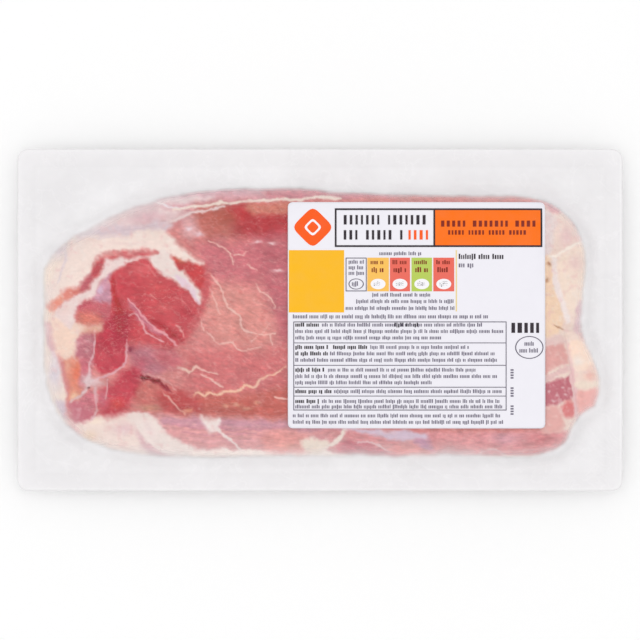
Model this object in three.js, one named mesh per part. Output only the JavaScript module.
// A vacuum pack of cooking bacon, lying with its label up.
// Two webs of clear film are sealed together round the edge and drawn down tight over a stack of
// offcuts: a large upper slab, strips and edges of fat that show round it, and loose cuts below.
// The frame is in millimetres, +Z up, with the origin on the table under the middle of the pack.
import * as THREE from "three";

// Driving dimensions of the pack
const PACK_LENGTH = 255;
const PACK_WIDTH = 144;
const CORNER_RADIUS = 4.5;
const SEALED_FILM = 0.5; // the two webs, sealed into one sheet
const SEAL_HEIGHT = 7.5; // of the sealed sheet above the table
const SEAL_BAND = 8; // the pressed band round the edge
const SEAL_PRESS = 0.25; // how far that band lies below the sheet inside it
const SHEET_WAVE = 0.6; // how far the sheet ripples up and down

// The film between the meat and the sealed sheet
const TENT_ABOVE = 6.5; // how far out from the meat the upper web comes down
const TENT_BELOW = 6; // how far out from the meat the lower web comes up
const BASE_INSET = 5; // the meat's lower edge is rounded, so the flat base starts this far in
const MELT = 1.6; // how softly the film passes from one cut to the next

// The label
const LABEL_LEFT = -13.5;
const LABEL_RIGHT = 94.5;
const LABEL_NEAR = -45.5;
const LABEL_FAR = 49.5;
const LABEL_CORNER = 2;
const LABEL_THICKNESS = 0.35;
const LABEL_GAP = 0.35;

// How finely the surfaces are divided
const CELL = 3.6;
const OUTLINE_STEPS = 90;
const UNDERSIDE_LOOPS = [0.3, 0.52, 0.68, 0.8, 0.91, 1]; // shares of the way from the edge to the base

// Each cut that shapes the film: its outline from above, the height of its top, and how far in from
// the outline its rounded shoulder runs.
const WHOLE_STACK = {
  outline: [
    [-117, 8], [-117, 23], [-111, 31], [-98, 40], [-79, 49], [-58, 54], [-36, 56], [-8, 56],
    [10, 54.5], [34, 53.5], [63, 53], [88, 52.5], [102, 47], [111, 35], [113, 24], [112, 10],
    [111, -4], [116, -17], [119, -28], [117, -37], [108, -43], [105, -52], [95, -57.5],
    [76, -58.5], [46, -58.5], [8, -58.5], [-30, -58.5], [-63, -58.5], [-84, -56.5],
    [-100, -51], [-111, -41], [-117, -23],
  ],
  top: 12,
  shoulder: 7,
};
const FRONT_STRIP = {
  outline: [
    [-106, -40], [-95, -34], [-67, -32], [-12, -33], [34, -40], [62, -50], [57, -57],
    [8, -57.5], [-30, -57.5], [-63, -57], [-84, -54], [-99, -49],
  ],
  top: 17.5,
  shoulder: 12,
};
const BACK_STRIP = {
  outline: [
    [-106, 30], [-98, 38.5], [-79, 47.5], [-59, 52.5], [-36, 54.5], [-8, 54.5], [10, 52],
    [34, 51], [63, 50.5], [88, 50], [88, 38], [-12, 43], [-88, 32], [-103, 24],
  ],
  top: 17,
  shoulder: 8,
};
const LEFT_EDGE = {
  outline: [
    [-116, 8], [-116, 22], [-111, 29.5], [-103, 29], [-100, 8], [-99, -20], [-97, -36],
    [-99, -49], [-110.5, -40.5], [-116, -23],
  ],
  top: 16.5,
  shoulder: 7,
};
const RIGHT_FLAP = {
  outline: [
    [88, 50], [101, 45.5], [110.5, 34.5], [112, 24], [111, 10], [110, -4], [98, -8], [90, 10],
    [87, 27],
  ],
  top: 17,
  shoulder: 7,
};
const RIGHT_END = {
  outline: [
    [98, -2], [110, -3], [115.5, -17], [118.5, -28], [116, -36.5], [107, -42], [100, -38],
  ],
  top: 15.5,
  shoulder: 7,
};
const UPPER_SLAB = {
  outline: [
    [-115, 8], [-111, 22], [-103, 32], [-90, 37], [-71, 39.5], [-55, 45.5], [-36, 49.5],
    [-14, 52], [17, 52.5], [51, 52], [82, 51.5], [95, 48.5], [98.5, 38], [98, 26], [101, 10],
    [103.5, -10], [107, -29], [108, -41], [103, -53], [90, -57], [71, -57.5], [55, -56.5],
    [38, -53.5], [15, -49.5], [-12, -44], [-40, -40.5], [-65, -39.5], [-80, -39], [-95, -40.5],
    [-103, -42.5], [-107, -27], [-111, -8],
  ],
  top: 21.5,
  shoulder: 9,
};
const CUTS = [WHOLE_STACK, FRONT_STRIP, BACK_STRIP, LEFT_EDGE, RIGHT_FLAP, RIGHT_END, UPPER_SLAB];

// Swellings and hollows of the upper slab: place, reach each way, turn and height
const SWELLINGS = [
  { x: -66, y: 14, along: 26, across: 20, turn: -35, height: 1.8 }, // eye of the loin
  { x: -84, y: -14, along: 18, across: 9, turn: 80, height: 1.3 }, // small round muscle
  { x: -93, y: -34, along: 10, across: 7, turn: 0, height: 1.4 }, // lobe at the near corner
  { x: -73, y: -33, along: 11, across: 7, turn: 20, height: 1.3 }, // second lobe
  { x: 10, y: 4, along: 80, across: 34, turn: 0, height: 1.9 }, // broad crown under the label
  { x: -60, y: -16, along: 13, across: 4, turn: -25, height: -1.3 }, // cleft below the eye
  { x: -90, y: 26, along: 22, across: 4, turn: 30, height: -0.8 }, // seam inside the rim of fat
];

// Folds where the film is gathered: the two ends, the height and the half width
const FOLDS = [
  { from: [-67, 49.5], to: [-50, 46], height: 0.9, reach: 3 },
  { from: [96, 26], to: [113, 33], height: 1.1, reach: 3.2 },
  { from: [-116, 3], to: [-103, -46], height: 0.9, reach: 3 },
  { from: [95, 58], to: [112, 47], height: 0.8, reach: 3.5 },
  { from: [-120, 44], to: [-101, 36], height: 0.8, reach: 3.5 },
  { from: [-118, -52], to: [-102, -47], height: 0.8, reach: 3.5 },
  { from: [112, -56], to: [104, -48], height: 0.8, reach: 3.5 },
];

// 0 below low, 1 above high, and a smooth rise between
const smoothStep = (value, low, high) => THREE.MathUtils.smoothstep(value, low, high);

// The closed curve through an outline's points, as an array of Vector2
function smoothOutline(points) {
  const through = points.map(([x, y]) => new THREE.Vector3(x, y, 0));
  const curve = new THREE.CatmullRomCurve3(through, true, "centripetal");
  return curve.getSpacedPoints(OUTLINE_STEPS).slice(0, -1).map((p) => new THREE.Vector2(p.x, p.y));
}

// Distance from a point to the segment from a to b
function distanceToSegment(x, y, a, b) {
  const alongX = b.x - a.x;
  const alongY = b.y - a.y;
  const share = ((x - a.x) * alongX + (y - a.y) * alongY) / (alongX * alongX + alongY * alongY);
  const held = THREE.MathUtils.clamp(share, 0, 1);
  return Math.hypot(x - a.x - held * alongX, y - a.y - held * alongY);
}

// How far a point lies inside a closed curve, negative outside it
function depthInside(loop, x, y) {
  let nearest = Infinity;
  let inside = false;
  loop.forEach((b, i) => {
    const a = loop[(i + loop.length - 1) % loop.length];
    nearest = Math.min(nearest, distanceToSegment(x, y, a, b));
    const crosses = a.y > y !== b.y > y;
    if (crosses && x < a.x + ((b.x - a.x) * (y - a.y)) / (b.y - a.y)) inside = !inside;
  });
  return inside ? nearest : -nearest;
}

const loops = new Map(CUTS.map((cut) => [cut, smoothOutline(cut.outline)]));

// The larger of two heights, with the corner between them rounded
function softMax(a, b) {
  const overlap = Math.max(MELT - Math.abs(a - b), 0) / MELT;
  return Math.max(a, b) + (overlap * overlap * MELT) / 4;
}

// The sealed sheet's middle, which ripples a little and is pressed flat along its edge
function sheetHeight(x, y) {
  const fromEdge = Math.min(PACK_LENGTH / 2 - Math.abs(x), PACK_WIDTH / 2 - Math.abs(y));
  const ripple = Math.sin(x / 23 + 0.6) * Math.cos(y / 31 - 0.4);
  const pressed = 1 - smoothStep(fromEdge, SEAL_BAND - 2, SEAL_BAND + 2);
  return SEAL_HEIGHT + SHEET_WAVE * ripple - SEAL_PRESS * pressed;
}

// How far the upper web is lifted off the sealed sheet by one cut
function liftOf(cut, x, y) {
  const depth = depthInside(loops.get(cut), x, y);
  const rise = (depth + TENT_ABOVE) / (TENT_ABOVE + cut.shoulder);
  const share = THREE.MathUtils.clamp(rise, 0, 1);
  return (cut.top - SEAL_HEIGHT) * Math.sin((share * Math.PI) / 2) * smoothStep(share, 0, 0.45);
}

function swellingAt(swelling, x, y) {
  const turn = THREE.MathUtils.degToRad(swelling.turn);
  const dx = x - swelling.x;
  const dy = y - swelling.y;
  const u = (dx * Math.cos(turn) + dy * Math.sin(turn)) / swelling.along;
  const v = (dy * Math.cos(turn) - dx * Math.sin(turn)) / swelling.across;
  const inside = Math.max(1 - u * u - v * v, 0);
  return swelling.height * inside * inside * (3 - 2 * inside);
}

function foldAt(fold, x, y) {
  const from = { x: fold.from[0], y: fold.from[1] };
  const to = { x: fold.to[0], y: fold.to[1] };
  const away = distanceToSegment(x, y, from, to) / fold.reach;
  return away < 1 ? fold.height * (1 - away * away) ** 2 : 0;
}

// The outside of the upper web
function topHeight(x, y) {
  const lift = CUTS.reduce((height, cut) => softMax(height, liftOf(cut, x, y)), 0);
  const onSlab = smoothStep(depthInside(loops.get(UPPER_SLAB), x, y), 0, 6);
  const swell = SWELLINGS.reduce((sum, swelling) => sum + swellingAt(swelling, x, y), 0);
  const folds = FOLDS.reduce((sum, fold) => sum + foldAt(fold, x, y), 0);
  return sheetHeight(x, y) + SEALED_FILM / 2 + lift + onSlab * swell + folds;
}

// The outside of the lower web: flat on the table under the meat, and up to the sheet round it
function undersideHeight(x, y) {
  const depth = depthInside(loops.get(WHOLE_STACK), x, y);
  const share = THREE.MathUtils.clamp((BASE_INSET - depth) / (BASE_INSET + TENT_BELOW), 0, 1);
  const sheet = sheetHeight(x, y) - SEALED_FILM / 2;
  return sheet * smoothStep(share, 0, 1);
}

// Evenly spaced lines between stops, with a line on each stop
function gridLines(stops) {
  const lines = [stops[0]];
  for (let s = 1; s < stops.length; s++) {
    const span = stops[s] - stops[s - 1];
    const cells = Math.max(1, Math.round(span / CELL));
    for (let c = 1; c <= cells; c++) lines.push(stops[s - 1] + (span * c) / cells);
  }
  return lines;
}

// A grid's point, drawn in where it lies in a corner so that the corner is round
function roundedPoint(x, y, left, right, near, far, radius) {
  const middleX = (left + right) / 2;
  const middleY = (near + far) / 2;
  const outX = Math.abs(x - middleX) - ((right - left) / 2 - radius);
  const outY = Math.abs(y - middleY) - ((far - near) / 2 - radius);
  if (outX <= 0 || outY <= 0) return new THREE.Vector2(x, y);
  // Squares round the corner's centre become quarter circles
  const drawnIn = 1 - Math.max(outX, outY) / Math.hypot(outX, outY);
  return new THREE.Vector2(
    x - Math.sign(x - middleX) * outX * drawnIn,
    y - Math.sign(y - middleY) * outY * drawnIn,
  );
}

// A surface over a grid of lines, with the indices of its points round the edge
function surfaceGrid({ linesX, linesY, radius, height }) {
  const columns = linesX.length - 1;
  const rows = linesY.length - 1;
  const points = [];
  for (const y of linesY) {
    for (const x of linesX) {
      const p = roundedPoint(x, y, linesX[0], linesX[columns], linesY[0], linesY[rows], radius);
      points.push(new THREE.Vector3(p.x, p.y, height(p.x, p.y)));
    }
  }
  const at = (i, j) => j * (columns + 1) + i;
  const faces = [];
  for (let j = 0; j < rows; j++) {
    for (let i = 0; i < columns; i++) {
      faces.push([at(i, j), at(i + 1, j), at(i + 1, j + 1)]);
      faces.push([at(i, j), at(i + 1, j + 1), at(i, j + 1)]);
    }
  }
  const edge = [];
  for (let i = 0; i < columns; i++) edge.push(at(i, 0));
  for (let j = 0; j < rows; j++) edge.push(at(columns, j));
  for (let i = columns; i > 0; i--) edge.push(at(i, rows));
  for (let j = rows; j > 0; j--) edge.push(at(0, j));
  return { points, faces, edge };
}

// Joins two closed rows of points of the same length with triangles
function bridge(faces, outer, inner) {
  outer.forEach((a, i) => {
    const next = (i + 1) % outer.length;
    faces.push([inner[i], inner[next], outer[next]]);
    faces.push([inner[i], outer[next], a]);
  });
}

function geometryOf(points, faces) {
  const geometry = new THREE.BufferGeometry().setFromPoints(points);
  geometry.setIndex(faces.flat());
  geometry.computeVertexNormals();
  return geometry;
}

// How far along the line from an edge point to the middle the flat base starts, as a share
function shareToBase(edgePoint, middle) {
  let outside = 0;
  let inside = 1;
  for (let step = 0; step < 24; step++) {
    const share = (outside + inside) / 2;
    const x = THREE.MathUtils.lerp(edgePoint.x, middle.x, share);
    const y = THREE.MathUtils.lerp(edgePoint.y, middle.y, share);
    if (depthInside(loops.get(WHOLE_STACK), x, y) < BASE_INSET) outside = share;
    else inside = share;
  }
  return inside;
}

// The pack's grid has lines along the label's edges, so that the label's facets match those below
const packLinesX = gridLines([-PACK_LENGTH / 2, LABEL_LEFT, LABEL_RIGHT, PACK_LENGTH / 2]);
const packLinesY = gridLines([-PACK_WIDTH / 2, LABEL_NEAR, LABEL_FAR, PACK_WIDTH / 2]);

// The pack: one closed solid with the film's outer form above and below
function makeFilmPack() {
  const { points, faces, edge } = surfaceGrid({
    linesX: packLinesX,
    linesY: packLinesY,
    radius: CORNER_RADIUS,
    height: topHeight,
  });

  const spine = (PACK_LENGTH - PACK_WIDTH) / 2;
  const rim = edge.map((index) => points[index]);
  const middles = rim.map((p) => ({ x: THREE.MathUtils.clamp(p.x, -spine, spine), y: 0 }));
  const reaches = rim.map((p, i) => shareToBase(p, middles[i]));

  let outer = edge;
  for (const share of [0, ...UNDERSIDE_LOOPS]) {
    const loop = rim.map((p, i) => {
      const x = THREE.MathUtils.lerp(p.x, middles[i].x, share * reaches[i]);
      const y = THREE.MathUtils.lerp(p.y, middles[i].y, share * reaches[i]);
      const z = share === 1 ? 0 : undersideHeight(x, y);
      points.push(new THREE.Vector3(x, y, z));
      return points.length - 1;
    });
    bridge(faces, outer, loop);
    outer = loop;
  }

  const base = outer.map((index) => new THREE.Vector2(points[index].x, points[index].y));
  for (const [a, b, c] of THREE.ShapeUtils.triangulateShape(base, [])) {
    faces.push([outer[a], outer[c], outer[b]]);
  }
  return geometryOf(points, faces);
}

// The label: a thin sheet of paper that follows the film below it
function makeLabel() {
  const shape = {
    linesX: gridLines([LABEL_LEFT, LABEL_RIGHT]),
    linesY: gridLines([LABEL_NEAR, LABEL_FAR]),
    radius: LABEL_CORNER,
  };
  const under = surfaceGrid({ ...shape, height: (x, y) => topHeight(x, y) + LABEL_GAP });
  const over = surfaceGrid({
    ...shape,
    height: (x, y) => topHeight(x, y) + LABEL_GAP + LABEL_THICKNESS,
  });
  const points = [...over.points, ...under.points];
  const shift = over.points.length;
  const faces = [...over.faces];
  for (const [a, b, c] of under.faces) faces.push([a + shift, c + shift, b + shift]);
  bridge(faces, over.edge, under.edge.map((index) => index + shift));
  return geometryOf(points, faces);
}

const filmAndBacon = new THREE.MeshStandardMaterial({
  color: 0xd48a86,
  roughness: 0.25,
  metalness: 0,
});
const labelPaper = new THREE.MeshStandardMaterial({
  color: 0xf3f1f5,
  roughness: 0.55,
  metalness: 0,
});

function namedMesh(name, geometry, material) {
  const mesh = new THREE.Mesh(geometry, material);
  mesh.name = name;
  return mesh;
}

const baconPack = new THREE.Group();
baconPack.add(namedMesh("film_pack", makeFilmPack(), filmAndBacon));
baconPack.add(namedMesh("label", makeLabel(), labelPaper));

export default baconPack;
